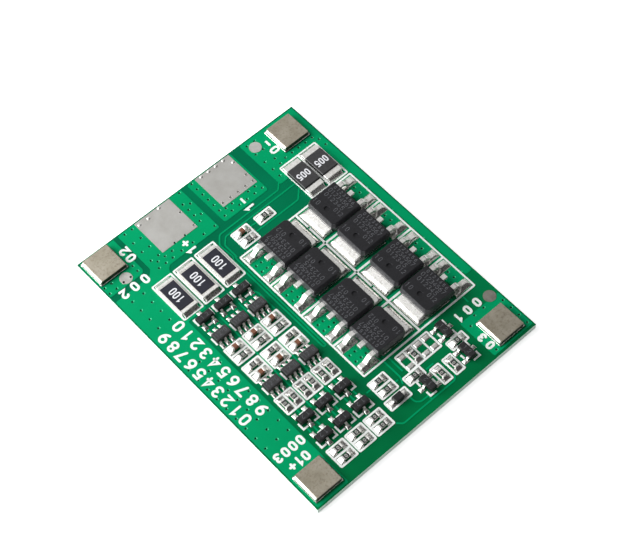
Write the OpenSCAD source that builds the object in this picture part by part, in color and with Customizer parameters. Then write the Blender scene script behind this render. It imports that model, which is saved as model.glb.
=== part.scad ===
// Battery management board: a laminate with power copper, eight power transistors, two current
// shunts, three balance resistors, three like channels of small parts and four battery tabs.
// Frame: origin at the centre of the board's underside, X across, Y along the board, Z up.
// Places on the board are [u, v] in mm from its far left corner: u along +X, v along -Y.

/* [Board] */
// Width of the board, along X
board_w = 45; // [45:1:60]
// Length of the board, along Y
board_l = 56; // [56:1:80]
// Thickness of the laminate
board_t = 1.2; // [0.8:0.2:2]
// Copper with the mask over it, above the laminate
copper_t = 0.05; // [0.04:0.01:0.06]
// Tinned land, above the laminate
land_t = 0.1; // [0.09:0.01:0.2]
// Printed ink, above the copper
ink_t = 0.03; // [0.02:0.005:0.03]
// Width of the printed lines
line_w = 0.3; // [0.2:0.02:0.34]
// Width of the thin traces
trace_w = 0.25; // [0.2:0.05:0.3]
// Bore of the plated holes
via_d = 0.4; // [0.3:0.05:0.5]

/* [Battery tabs and output pads] */
// Battery tab: width, length and thickness
tab_size = [4.8, 4.95, 0.9]; // [0.5:0.05:5.2]
// Solder round a battery tab
tab_solder = 0.34; // [0.2:0.02:0.36]
// Output pad: width and length
output_size = [7.15, 7.15]; // [6:0.05:7.3]
// Diameter of the round tap pads
tap_d = 2.1; // [1.8:0.1:2.2]

/* [Power transistors] */
// Moulded body: along the leads, across them, and height
fet_body = [6.1, 6.4, 2.3]; // [2:0.05:6.5]
// How far the walls lean in, top and bottom
fet_draft = 0.22; // [0.1:0.02:0.24]
// Corner cut of the body beside the metal tab
fet_corner = 0.5; // [0.4:0.1:1]
// Metal tab: past the body, width and thickness
fet_tab = [1.15, 5.4, 0.5]; // [0.4:0.05:5.5]
// Length of an outer lead past the body
fet_lead_l = 2.9; // [2.7:0.1:3]
// Lead: width and thickness
fet_lead = [0.84, 0.5]; // [0.4:0.02:0.9]
// Distance between the two outer leads
fet_lead_pitch = 4.56; // [4.4:0.02:4.6]

/* [Small parts] */
// Chip resistor: length, width, height and end cap
resistor_size = [1.6, 0.8, 0.45, 0.38]; // [0.2:0.01:1.7]
// Chip capacitor: length, width, height and end cap
capacitor_size = [1.6, 0.8, 0.8, 0.46]; // [0.2:0.02:1.7]
// Balance resistor: length, width, height and end cap
balance_size = [6.35, 3.2, 0.6, 0.55]; // [0.4:0.05:6.4]
// Coat on a balance resistor: length and width
balance_coat = [5, 2.8]; // [2.4:0.1:5.1]
// Shunt strip: length, width and thickness
shunt_size = [6.4, 3.2, 0.6]; // [0.5:0.1:6.4]
// Coat round a shunt: length, width and height
shunt_coat = [4.4, 3.34, 0.84]; // [0.7:0.02:4.6]
// Three-lead transistor body: length, width and height
sot_body = [2.84, 1.3, 1]; // [0.9:0.02:3]
// Six-lead chip body: length, width and height
chip_body = [2.84, 1.6, 1.1]; // [0.9:0.02:3]
// Distance between neighbouring small leads
lead_pitch = 0.95; // [0.9:0.01:0.95]
// Distance between the three channels
channel_pitch = 3.69; // [3.66:0.01:3.72]

/* [Hidden] */
function numbered(name, n) = [for (i = [1:n]) str(name, "_", i)];
$fn = 48;

seat_z = board_t + land_t; // what every part stands on
copper_c = "#1fa870";
laminate_c = "#0f7a4e";
tin_c = "#c9c8c4";
ink_c = "#f2f5f2";
mould_c = "#2c2c30";

// Places, [u, v] or [u, v, turn]
tab_places = [[3.1, 3.15], [40.85, 3.7], [40.95, 52.45], [3.3, 52.5]];
output_places = [[14.86, 3.85], [27.4, 3.85]];
tap_places = [[4.12, 7.1], [35.17, 2.17], [43.3, 47.7]];
fet_cell = 7.15; // one row of lands to the next
fet_cell_v = 19.85; // first row of lands
fet_rows = [19.97, 26.76, 34.26, 41.06]; // the bodies sit a little off their lands
fet_columns = [[26, 0], [36.2, 180]]; // u and turn: the metal tabs face each other
shunt_places = [[37, 11.9, 90], [40.88, 11.9, 90]];
function channel(i, shift = 0) = 8.5 + (i - 1) * channel_pitch + shift;
function row_of(v, shift, turn = 0) = [for (i = [1:3]) [channel(i, shift), v, turn]];
balance_places = [for (u = [7.77, 12.03, 16.38]) [u, 15.15, 90]];
switch_places = row_of(21, -0.06);
balance_chip_places = row_of(25, -0.14);
guard_chip_places = row_of(36.55, 0);
upper_places = row_of(43.95, 0, 180);
lower_places = row_of(47.95, 0, 180);
control_places = [[33.8, 47.25, -90], [25.65, 52.2, 90], [33.8, 52.3, -90]];
balance_cap_places = row_of(27.95, 0.1);
balance_feed_places = row_of(29.75, 0.1);
guard_feed_places = row_of(32.05, 0.1);
guard_cap_places = row_of(33.9, 0.1);
function gate_places(i) = [for (s = [-1, 1]) [channel(i, 0.15 + s * 0.88), 40.2, 90]];
function pulldown_places(i) = [for (v = [50.85, 52.6]) [channel(i, 0.2), v, 0]];
delay_place = [22.85, 13.05, 0];
sense_places = [[22.85, 14.8, 0], [27.55, 13.15, 0]];
release_places = [for (v = [46.85, 48.75]) [20.6, v, 0]];
diode_place = [20.75, 50.95, 0];
control_resistor_places = [[27.6, 47.25, 90], [25.25, 49.85, 0], [34.15, 49.9, 0],
    [28.45, 52.3, 90], [30.95, 52.35, 90]];
empty_places = [for (u = [25.95, 29.3, 31]) [u, 47.25, 90]];
chip_places = concat(balance_cap_places, balance_feed_places, guard_feed_places,
    guard_cap_places, [for (i = [1:3]) each gate_places(i)],
    [for (i = [1:3]) each pulldown_places(i)], [delay_place], sense_places, release_places,
    control_resistor_places);
sot_places = concat(switch_places, upper_places, lower_places, control_places);
six_lead_places = concat(balance_chip_places, guard_chip_places);
function grid(u, v, du = 1, dv = 1, nu = 1, nv = 1) =
    [for (i = [0:nu - 1], j = [0:nv - 1]) [u + i * du, v + j * dv]];
vias = concat(
    grid(2.2, 11.1, 2.2, 2.1, 2, 4), grid(0.9, 26.1, 2.2, 2.19, 3, 9), // bus on the left
    grid(9, 0.75, 1.5, 2.18, 2, 4), grid(9.7, 8.15, 1.45, 1, 3), grid(9.1, 9.2, 1.4, 1, 3),
    grid(13.75, 9.15, 2.25, 1, 4), grid(13.85, 7.3, 2.1, 1, 2), // round the first output pad
    grid(11.85, 0.95, 1.85, 1, 2), [[16.15, 0.55]],
    grid(19.4, 2.65, 1, 1.4, 1, 4), grid(20.4, 0.6, 1, 2.7, 1, 3), grid(18.15, 3.5, 1, 3.3, 1, 2),
    grid(22.95, 0.6, 1, 1.37, 1, 7), grid(24.4, 8.85, 1.6, 1, 5), // round the second
    grid(24, 7.85, 1.3, 1, 2), grid(28.7, 7.85, 1.4, 1, 2), grid(24.95, 0.6, 1.55, 1, 4),
    grid(24.3, 6.8, 1.58, 1, 5), grid(30.6, 1.9, 1, 3.3, 1, 2),
    grid(34.3, 1.1, 1.6, 2.2, 2, 2), grid(37.45, 7, 1.45, 1, 5), // round the battery tabs
    [[34.4, 5.4], [36.1, 5.95], [34.45, 7.35], [36.1, 7.3], [34.45, 9], [43.9, 8], [44, 9.5]],
    grid(0.55, 6.3, 1.35, 1.3, 2, 2), grid(6.3, 6.1, 1, 1.2, 1, 2),
    grid(3.4, 7.45, 1.4, 1, 2), grid(39.2, 48.55, 2, 1, 2), grid(44.3, 49.6, 1, 1.75, 1, 4),
    grid(37.45, 49.5, 1, 5.5, 1, 2),
    [for (i = [0:3]) let (v = fet_cell_v + i * fet_cell) each concat( // by the power transistors
        grid(20.45, v - 0.62, 1.05, 1.38, 3, 2), grid(41.65, v - 1, 1.42, 1.3, 2, 2))],
    [for (v = [19.55, 23.4, 30.65, 34.2]) [31.22, v]]);

// ---- lines and outlines ----

function unit(d) = d / norm(d);
function normal(a, b) = let (d = unit(b - a)) [-d[1], d[0]];
function reversed(list) = [for (i = [len(list) - 1:-1:0]) list[i]];

// An open line moved sideways by d, with mitred corners
function beside(line, d) = let (n = len(line) - 1) [for (i = [0:n]) let (
    j = max(i, 1), k = min(i, n - 1),
    m = normal(line[j - 1], line[j]) + normal(line[k], line[k + 1]))
    line[i] + m * d * 2 / (m * m)];

function ribbon(line, w) = concat(beside(line, w / 2), reversed(beside(line, -w / 2)));

// The points that round the corner at p between its neighbours a and b
function corner(a, p, b, r, n) =
    [for (s = [0:1 / n:1.001]) p + unit(a - p) * r * pow(1 - s, 2) + unit(b - p) * r * s * s];

function bent(line, r, n = 4) = let (e = len(line) - 1) concat([line[0]],
    [for (i = [1:e - 1]) each corner(line[i - 1], line[i], line[i + 1], r, n)], [line[e]]);

function rounded(loop, r, n = 4) = let (e = len(loop)) [for (i = [0:e - 1])
    each corner(loop[(i + e - 1) % e], loop[i], loop[(i + 1) % e], r, n)];

function box_loop(u0, v0, u1, v1) = [[u0, v0], [u1, v0], [u1, v1], [u0, v1]];

// ---- placing ----

// Flat shapes given in [u, v]
module plan() translate([-board_w / 2, board_l / 2]) mirror([0, 1]) children();

// A part in its own frame, at [u, v] or [u, v, turn]
module at(place, z = seat_z)
    translate([place[0] - board_w / 2, board_l / 2 - place[1], z])
        rotate(len(place) > 2 ? place[2] : 0) children();

module on_both_sides() for (turn = [0, 180]) rotate(turn) children();

// ---- the board ----

module board_outline() square([board_w, board_l]);

module via_bores() for (p = vias) translate(p) circle(d = via_d);

module circuit_board() color(laminate_c)
    linear_extrude(board_t) plan() difference() {
        board_outline();
        via_bores();
    }

// ---- lands ----

chip_land = [0.92, 1.28, 0.98]; // length, width, and middle from the part's middle
balance_land = [1.7, 2.9, 3.0];
shunt_land = [2.1, 3.0, 2.72];
sot_land = [1, 0.8, 1.22];
six_lead_land = [1.05, 0.6, 1.38];
diode_land = [1.3, 1.36, 1.25];
fet_lead_land = [3.35, 1.75];
fet_tab_land = [6.75, 6.2];
fet_land_u = [[27.47, 21.5], [34.9, 41.1]]; // tab lands and lead lands of each column

module land_pair(size) for (s = [-1, 1]) translate([s * size[2], 0])
    square([size[0], size[1]], center = true);

module sot_lands() {
    for (s = [-1, 1]) translate([s * lead_pitch, -sot_land[2]])
        square([sot_land[1], sot_land[0]], center = true);
    translate([0, sot_land[2]]) square([sot_land[1], sot_land[0]], center = true);
}

module six_lead_lands() for (x = [-1:1], s = [-1, 1])
    translate([x * lead_pitch, s * six_lead_land[2]])
        square([six_lead_land[1], six_lead_land[0]], center = true);

module tab_land() square([tab_size[0], tab_size[1]] + [2, 2] * tab_solder, center = true);

module fet_lands(column) for (i = [0:3]) translate([0, fet_cell_v + i * fet_cell]) {
    translate([fet_land_u[column][0], 0]) square(fet_tab_land, center = true);
    for (s = [-1, 1]) translate([fet_land_u[column][1], s * 2.3])
        square(fet_lead_land, center = true);
}

// The lands that lie in the copper areas, which are cut back round them
module power_lands() {
    for (c = [0, 1]) fet_lands(c);
    for (p = tab_places) translate(p) tab_land();
    for (p = shunt_places) translate([p[0], p[1]]) rotate(90) land_pair(shunt_land);
    for (p = balance_places) translate([p[0], p[1]]) rotate(90) land_pair(balance_land);
}

module signal_lands() {
    for (p = concat(chip_places, empty_places))
        translate([p[0], p[1]]) rotate(p[2]) land_pair(chip_land);
    translate(diode_place) land_pair(diode_land);
    for (p = sot_places) translate([p[0], p[1]]) rotate(180 - p[2]) sot_lands();
    for (p = six_lead_places) translate([p[0], p[1]]) six_lead_lands();
}

module output_lands() for (p = output_places) translate(p) square(output_size, center = true);

module tap_lands() for (p = tap_places) translate(p) circle(d = tap_d);

// Solder that climbs a face at x, w wide
module solder(x, w, run, rise)
    translate([x, 0]) rotate([90, 0, 0]) linear_extrude(w, center = true)
        polygon([[0, 0], [run, 0], [run * 0.4, rise * 0.32], [0, rise]]);

module chip_solder(size) on_both_sides() solder(size[0] / 2, size[1] * 0.96, 0.5, 0.32);

module tab_solder_ring() for (turn = [0:90:270]) rotate(turn)
    solder(tab_size[turn % 180 == 0 ? 0 : 1] / 2, tab_size[turn % 180 == 0 ? 1 : 0] - 0.3,
        tab_solder * 0.9, 0.4);

module component_lands() color(tin_c) {
    translate([0, 0, board_t]) linear_extrude(land_t) plan() power_lands();
    translate([0, 0, board_t]) linear_extrude(land_t) plan() signal_lands();
    for (p = chip_places) at(p) chip_solder(resistor_size);
    for (p = balance_places) at(p) on_both_sides() solder(balance_size[0] / 2, 2.7, 0.55, 0.4);
    for (p = shunt_places) at(p) on_both_sides() solder(shunt_size[0] / 2, 2.8, 0.5, 0.4);
    for (p = tab_places) at(p) tab_solder_ring();
    for (c = fet_columns, v = fet_rows) at([c[0], v, c[1]])
        solder(fet_body[0] / 2 + fet_tab[0], fet_tab[1] - 0.6, 0.5, 0.36);
}

module output_pads() color(tin_c) translate([0, 0, board_t]) linear_extrude(land_t)
    plan() difference() {
        output_lands();
        via_bores();
    }

module tap_pads() color(tin_c) translate([0, 0, board_t]) linear_extrude(land_t)
    plan() difference() {
        tap_lands();
        via_bores();
    }

// ---- copper and ink ----

edge = 0.25; // copper stays this far inside the board's edge
far_u = board_w - edge;
far_v = board_l - edge;

pours = [
    rounded([[edge, edge], [7.05, edge], [7.05, 7.7], [6.55, 8.2], [edge, 8.2]], 0.25),
    rounded([[7.95, edge], [20.95, edge], [20.95, 9.85], [10.7, 9.85], [9.95, 10.6],
        [9.95, 19.6], [6.3, 19.6], [6.3, far_v], [edge, far_v], [edge, 9.4], [6.95, 9.4],
        [7.95, 8.4]], 0.3),
    rounded(box_loop(22.2, edge, 31.35, 9.72), 0.5),
    rounded([[33.4, edge], [far_u, edge], [far_u, 42.45], [43.35, 42.45],
        [43.35, 16.1], [39.9, 16.1], [39.9, 10.3], [33.4, 10.3]], 0.25),
    rounded(box_loop(19.78, 16.55, 23.4, 44.6), 0.3),
    rounded(box_loop(40.3, 16.55, 42.85, 44.6), 0.2),
    rounded(box_loop(23.8, 16.6, 30.78, 44.58), 0.2),
    rounded(box_loop(31.6, 16.6, 38.7, 44.58), 0.2),
    rounded(box_loop(36.5, 48.1, far_u, 55.55), 0.25)];

function loop_under(u) = [[u, 42.1], [u, 43]];

traces = concat([
    bent([[18.55, 16], [18.95, 15.5], [18.75, 12.4], [20, 10.95], [32.4, 10.9], [33.6, 9.7]], 0.3),
    bent([[19.35, 15.9], [19.35, 13], [20.5, 11.85], [35.2, 11.8]], 0.3),
    bent([[18.55, 15.9], [18.55, 36.9], [19.07, 36.9], [19.07, 15.9], [19.35, 15.5]], 0.25),
    bent([[24.7, 14.45], [33.5, 14.45], [35.2, 12.8]], 0.3),
    bent([[24, 13.05], [24.9, 13.05], [25.3, 13.15], [26.6, 13.15]], 0.1),
    bent([[23.55, 44.9], [23.55, 48.6], [23, 49.6]], 0.3),
    [[24.5, 44.9], [24.5, 48]],
    bent([[22.2, 51.4], [22.35, 53], [23, 53.55], [25, 53.6]], 0.35),
    bent([[17.2, 22.3], [17.55, 23.1], [17.55, 27]], 0.2),
    [[18, 47.05], [18.75, 47.05]], [[22.2, 48.6], [23, 48.6]], [[27.3, 50.2], [28.8, 50.2]],
    [[24.5, 53.6], [24.5, 54.3]],
    bent([[17.8, 53.6], [18.6, 54.4], [29.2, 54.4], [29.9, 53.7]], 0.3),
    [[40.2, 44.9], [40.2, 46.2]]],
    [for (u = [10.43, 14.12]) [[u, 22.3], [u, 43.2]]],
    [for (i = [1:3]) each [
        [[channel(i), 41.8], [channel(i), 43]],
        [[channel(i), 45.5], [channel(i), 47]],
        [[channel(i, -0.9), 45.1], [channel(i, -0.9), 46.6]],
        [[channel(i, 0.9), 45.1], [channel(i, 0.9), 46.6]],
        [[channel(i), 48.9], [channel(i, -0.7), 50.2]],
        [[channel(i, -0.9), 22.4], [channel(i, -0.95), 23.6]],
        [[channel(i, 0.9), 22.4], [channel(i, 0.85), 23.6]],
        [[channel(i), 18.9], [channel(i), 19.9]]]]);

module copper_outline() {
    for (p = pours) polygon(p);
    for (t = traces) polygon(ribbon(t, trace_w));
}

module all_lands() {
    power_lands();
    signal_lands();
    output_lands();
    tap_lands();
}

module copper_layer() color(copper_c) translate([0, 0, board_t]) linear_extrude(copper_t)
    plan() difference() {
        copper_outline();
        all_lands();
        via_bores();
    }

// Ink lines: u0, v0, u1, v1 of each frame's outside
module frame(b) difference() {
    polygon(rounded(box_loop(b[0], b[1], b[2], b[3]), line_w));
    polygon(box_loop(b[0] + line_w, b[1] + line_w, b[2] - line_w, b[3] - line_w));
}

module stroke(line, w = line_w) polygon(ribbon(line, w));

function framed(u, v, w, h) = [u - w / 2, v - h / 2, u + w / 2, v + h / 2];

pair_w = 3.5;
pair_h = 3.65;
bar_w = line_w * 1.2; // the bars that part one frame's rows or columns
pair_places = concat([for (i = [1:3]) each [
    [channel(i, 0.1), 28.85], [channel(i, 0.1), 32.97], [channel(i, 0.2), 51.73]]],
    [[22.85, 13.93], [20.62, 47.8]]);

module frames() {
    for (p = balance_places) frame(framed(p[0] + 0.12, 15.12, 4, 8.1));
    for (p = pair_places) {
        frame(framed(p[0], p[1], pair_w, pair_h));
        stroke([[p[0] - pair_w / 2 + 0.1, p[1]], [p[0] + pair_w / 2 - 0.1, p[1]]], bar_w);
    }
    for (i = [1:3]) {
        frame(framed(channel(i, 0.15), 40.2, pair_w, 3.5));
        stroke([[channel(i, 0.15), 38.5], [channel(i, 0.15), 41.9]], bar_w);
    }
    for (b = [[25.85, 12.15, 29.35, 14.1], [18.6, 49.95, 23, 51.9], [23.45, 48.85, 27, 50.75],
        [27.45, 50.55, 29.45, 54.05], [29.95, 50.6, 31.95, 54.1], [32.4, 48.95, 35.95, 50.85]])
        frame(b);
    frame([25.05, 45.45, 31.95, 49.05]);
    for (u = [26.78, 28.45, 30.15]) stroke([[u, 45.55], [u, 48.95]]);
    frame([35.25, 7.88, 43, 16.02]);
    stroke([[39.18, 7.95], [39.18, 15.95]], bar_w);
}

module transistor_frame() {
    frame([19.48, 16.24, 43.12, 44.91]);
    for (v = [23.42, 30.62, 37.82]) stroke([[19.6, v], [43, v]], bar_w);
    stroke([[31.22, 16.35], [31.22, 44.8]], bar_w);
}

// Corner marks round a three-lead part, in its own frame with the lone lead at the far side
module sot_marks() {
    for (s = [-1, 1]) stroke([[s * 1.52, 0.2], [s * 1.52, -1.05], [s * 0.62, -1.05]]);
    stroke([[-0.4, 1.1], [0.4, 1.1]]);
}

module legend_outline() {
    frames();
    transistor_frame();
    for (p = sot_places) translate([p[0] + 0.1, p[1] + 0.12]) rotate(-p[2]) sot_marks();
    for (p = six_lead_places) stroke([[p[0] - 1.42, p[1] - 0.75], [p[0] - 1.42, p[1] + 0.75]]);
}

// One level top: thick on the bare laminate, thin on the copper
module legend() color(ink_c) translate([0, 0, board_t]) {
    linear_extrude(copper_t + ink_t) plan() difference() {
        legend_outline();
        copper_outline();
        all_lands();
        via_bores();
    }
    translate([0, 0, copper_t]) linear_extrude(ink_t) plan() intersection() {
        difference() {
            legend_outline();
            all_lands();
            via_bores();
        }
        copper_outline();
    }
}

// ---- moulded and leaded parts ----

// Profile of a wall that leans in above and below the line where the mould parts
function leaning(l, h, lean, part) = [[-l / 2 + lean, 0], [l / 2 - lean, 0], [l / 2, part],
    [l / 2 - lean, h], [-l / 2 + lean, h], [-l / 2, part]];

module moulded(size, lean, part) intersection() {
    rotate([90, 0, 0]) linear_extrude(size[1] + 2, center = true)
        polygon(leaning(size[0], size[2], lean, part));
    rotate([90, 0, 90]) linear_extrude(size[0] + 2, center = true)
        polygon(leaning(size[1], size[2], lean, part));
}

// A flat lead that follows line, [out, up] along its middle, pointing to +X
module lead(line, w, t, r) rotate([90, 0, 0]) linear_extrude(w, center = true)
    polygon(ribbon(bent(line, r), t));

module small_lead(wall, up, toe, w = 0.4) rotate(90)
    lead([[wall - 0.15, up], [wall + 0.2, up], [wall + 0.3, 0.065], [toe, 0.065]], w, 0.13, 0.09);

module sot23() {
    lift = 0.1;
    color(mould_c) translate([0, 0, lift]) moulded(sot_body, 0.07, sot_body[2] * 0.5);
    color(tin_c) for (x = [-lead_pitch, lead_pitch]) translate([x, 0]) rotate(180)
        small_lead(sot_body[1] / 2, lift + 0.45, 1.27);
    color(tin_c) small_lead(sot_body[1] / 2, lift + 0.45, 1.27);
}

module six_lead_chip() {
    lift = 0.1;
    color(mould_c) translate([0, 0, lift]) moulded(chip_body, 0.07, chip_body[2] * 0.5);
    color(tin_c) on_both_sides() for (x = [-1:1]) translate([x * lead_pitch, 0])
        small_lead(chip_body[1] / 2, lift + 0.5, 1.42);
}

module power_transistor() {
    l = fet_body[0];
    w = fet_body[1];
    h = fet_body[2];
    up = 1.3; // middle of the leads, where the mould parts
    c = fet_corner;
    foot = fet_lead[1] / 2;
    color(mould_c) difference() {
        intersection() {
            moulded(fet_body, fet_draft, up);
            linear_extrude(h) polygon([[-l, -w / 2], [l / 2 - c, -w / 2], [l / 2, -w / 2 + c],
                [l / 2, w / 2 - c], [l / 2 - c, w / 2], [-l, w / 2]]);
        }
        translate([l / 2 - 1.6, -w / 2 + 3.2, h - 0.06]) cylinder(d = 1.1, h = 1);
    }
    color(tin_c) linear_extrude(fet_tab[2])
        polygon(rounded([[0, -fet_tab[1] / 2 + 0.1], [l / 2 + fet_tab[0], -fet_tab[1] / 2 + 0.1],
            [l / 2 + fet_tab[0], fet_tab[1] / 2 - 0.1], [0, fet_tab[1] / 2 - 0.1]], 0.4));
    color(tin_c) for (s = [-1, 1]) translate([0, s * fet_lead_pitch / 2]) rotate(180)
        lead([[l / 2 - 0.5, up], [l / 2 + 1, up], [l / 2 + 1.8, foot],
            [l / 2 + fet_lead_l, foot]], fet_lead[0], fet_lead[1], 0.3);
    color(tin_c) translate([-l / 2 - 1.05, -fet_lead[0] / 2, up - foot])
        cube([1.55, fet_lead[0], fet_lead[1]]); // the middle lead, cut short
}

module chip(size) {
    color(tin_c) for (s = [-1, 1]) translate([s * (size[0] - size[3]) / 2, 0, size[2] / 2])
        cube([size[3], size[1], size[2]], center = true);
    children();
}

module chip_core(size, c) color(c) translate([0, 0, size[2] / 2])
    cube([size[0] - 0.1, size[1] - 0.04, size[2] - 0.04], center = true);

module resistor() chip(resistor_size) chip_core(resistor_size, "#3a3c40");

module capacitor() chip(capacitor_size) chip_core(capacitor_size, "#a3704f");

module balance_resistor() {
    chip(balance_size) chip_core(balance_size, "#ece9e2");
    color("#1c1e28") translate([-balance_coat[0] / 2, -balance_coat[1] / 2, balance_size[2] - 0.1])
        cube([balance_coat[0], balance_coat[1], 0.15]);
}

module shunt() {
    color(tin_c) translate([-shunt_size[0] / 2, -shunt_size[1] / 2]) cube(shunt_size);
    color("#26262a") moulded(shunt_coat, 0.1, shunt_coat[2] * 0.5);
}

module diode() {
    body = [1.7, 1.25, 0.95];
    color(mould_c) translate([0, 0, 0.05]) moulded(body, 0.07, body[2] * 0.5);
    color(tin_c) on_both_sides() rotate(-90) small_lead(body[0] / 2, 0.45, 1.35, 0.34);
}

module battery_tab() color("#a39a8c") linear_extrude(tab_size[2])
    polygon(rounded(box_loop(-tab_size[0] / 2, -tab_size[1] / 2, tab_size[0] / 2,
        tab_size[1] / 2), 0.15));

module each_at(places) for (p = places) at(p) children();

// ---- nodes ----

circuit_board();
copper_layer();
component_lands();
output_pads();
tap_pads();
legend();
for (i = [1:4])
    at(tab_places[i - 1]) battery_tab();
for (i = [1:8])
    let (c = fet_columns[i > 4 ? 1 : 0])
            at([c[0], fet_rows[(i - 1) % 4], c[1]]) power_transistor();
for (i = [1:2]) at(shunt_places[i - 1]) shunt();
for (i = [1:3]) {
    at(balance_places[i - 1]) balance_resistor();
    at(switch_places[i - 1]) sot23();
    at(balance_chip_places[i - 1]) six_lead_chip();
    at(balance_cap_places[i - 1]) capacitor();
    at(guard_cap_places[i - 1]) capacitor();
    at(guard_chip_places[i - 1]) six_lead_chip();
    at(upper_places[i - 1]) sot23();
    at(lower_places[i - 1]) sot23();
    at(control_places[i - 1]) sot23();
    each_at(gate_places(i)) resistor();
    each_at(pulldown_places(i)) resistor();
}
at(diode_place) diode();
at(delay_place) capacitor();  // delay_capacitor
each_at(balance_feed_places) resistor();  // balance_feed_resistors
each_at(guard_feed_places) resistor();  // guard_feed_resistors
each_at(sense_places) resistor();  // sense_resistors
each_at(release_places) resistor();  // release_resistors
each_at(control_resistor_places) resistor();  // control_resistors
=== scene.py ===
"""Looks for a battery management board: green masked laminate and copper, tinned lands with their
solder, moulded power transistors, shunts, coated resistors, small chips and weld tabs.
Shapes are drawn in millimetres in a part's own frame and placed in the board's frame in metres."""

import math

import bmesh
import bpy
from mathutils import Matrix, Vector


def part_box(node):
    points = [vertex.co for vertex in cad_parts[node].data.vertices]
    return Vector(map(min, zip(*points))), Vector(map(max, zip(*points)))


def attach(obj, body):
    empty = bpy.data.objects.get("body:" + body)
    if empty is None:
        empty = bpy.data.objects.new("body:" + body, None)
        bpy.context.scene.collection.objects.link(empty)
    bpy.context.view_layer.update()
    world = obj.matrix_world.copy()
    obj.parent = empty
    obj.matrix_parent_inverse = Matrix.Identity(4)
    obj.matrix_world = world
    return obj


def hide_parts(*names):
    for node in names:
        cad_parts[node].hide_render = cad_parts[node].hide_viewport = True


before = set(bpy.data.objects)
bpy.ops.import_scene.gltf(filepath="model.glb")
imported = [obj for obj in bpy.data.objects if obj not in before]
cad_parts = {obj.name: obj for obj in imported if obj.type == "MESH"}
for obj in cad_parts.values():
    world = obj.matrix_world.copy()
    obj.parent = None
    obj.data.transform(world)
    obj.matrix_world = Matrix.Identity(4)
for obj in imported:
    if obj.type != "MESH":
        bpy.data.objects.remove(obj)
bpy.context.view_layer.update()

MM = 0.001
TO_METRES = Matrix.Diagonal((MM, MM, MM, 1))
ROOT = "root"

# ---- sizes, in millimetres ----

BOARD_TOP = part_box("circuit_board")[1].z / MM
INK_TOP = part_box("legend")[1].z / MM
LAND_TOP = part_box("output_pads")[1].z / MM

FET = {
    "body": (6.1, 6.4, 2.3),  # along the leads, across them and high
    "lean": 0.22,  # how far the walls lean in
    "part": 1.3,  # height of the line where the mould parts, and of the leads
    "corner": 0.5,  # cut off beside the tab
    "tab": (1.15, 5.4, 0.5),  # out of the body, across and thick
    "level": 1.0,  # a lead bends down this far out of the body
    "foot": 1.8,  # its foot begins here
    "lead": 2.9,  # its foot ends here
    "cut": 1.05,  # the middle lead ends here
    "pitch": 4.56,
    "lead_w": 0.84,
    "lead_t": 0.5,
}
EJECTOR_MARK = {"from_edge": 1.6, "radius": 0.5, "depth": 0.2}
# faint figures, read along the body: how far out they are, where they start, the text, and how
# tall and how long it is
FET_FIGURES = (
    (-2.25, -2.2, "0123456", 0.5, 4.4),
    (-1.35, -2.45, "01234567", 0.72, 4.9),
    (-0.35, -2.3, "012345", 0.72, 4.1),
    (0.6, 0.9, "012", 0.72, 1.6),
    (1.7, -2.75, "10", 0.8, 1.15),
)

# small moulded parts: the body, its height above the land, how far the leads' toes are from its
# middle, the height at which the leads leave it, the leads' width, and the faint figures on top
# with how tall and how long they are
SOT = {"body": (2.84, 1.3, 1.0), "lift": 0.1, "toe": 1.27, "up": 0.55, "lead_w": 0.4,
       "figures": ("12", 0.62, 1.3)}
SIX = {"body": (2.84, 1.6, 1.1), "lift": 0.1, "toe": 1.42, "up": 0.6, "lead_w": 0.4,
       "figures": ("1230", 0.7, 2)}
DIODE = {"body": (1.7, 1.25, 0.95), "lift": 0.05, "toe": 1.35, "up": 0.45, "lead_w": 0.34}
SMALL_LEAN = 0.07
# a lead of a small part, measured from the body's wall: how far in it begins, where it bends down,
# where its foot begins and where the solder does, and the rounding of its bends
SMALL_LEAD = {"in": 0.15, "level": 0.2, "foot": 0.3, "solder": 0.28, "bend": 0.09}
LEAD_T = 0.13
LEAD_PITCH = 0.95

# chips: how long an end cap is and how far it stays below the top, how far the ceramic is sunk, and
# the coat's size, its distance from the sides and its depth
CHIP_RESISTOR = {"cap": 0.38, "sunk": 0.04, "coat": 0.92, "coat_in": 0.03, "coat_t": 0.06}
CHIP_CAPACITOR = {"cap": 0.46, "sunk": 0.02}
BALANCE_RESISTOR = {"cap": 0.55, "sunk": 0.08, "coat": (5, 2.8), "coat_t": 0.12, "cap_below": 0.05}
# a shunt's metal strip, and how long its coat is
SHUNT = {"thick": 0.6, "width": 3.2, "coat": 4.4}

# weld tabs, and the bead of solder along one side: how far out it reaches, and how far below the
# tab's top its outer edge is
WELD_TAB = {"corner": 0.15, "top_edge": 0.07}
BEAD = {"out": 0.32, "down": 0.38}

MOULD_EDGE = 0.05  # rounding of a moulded body's edges
INK_LINE = 0.3
PRINT_DEPTH = 0.02  # how far the print on a part reaches down into it
# how wide the strokes of the print are
STROKE_ON = {"small body": 0.09, "power body": 0.1, "chip": 0.11, "coat": 0.22}


def tone(code):
    """A colour as written, #rrggbb, in the linear values that a shader takes."""
    parts = [int(code[i:i + 2], 16) / 255 for i in (1, 3, 5)]
    return tuple(c / 12.92 if c <= 0.04045 else ((c + 0.055) / 1.055) ** 2.4 for c in parts) + (1,)


# ---- finishes ----

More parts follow.
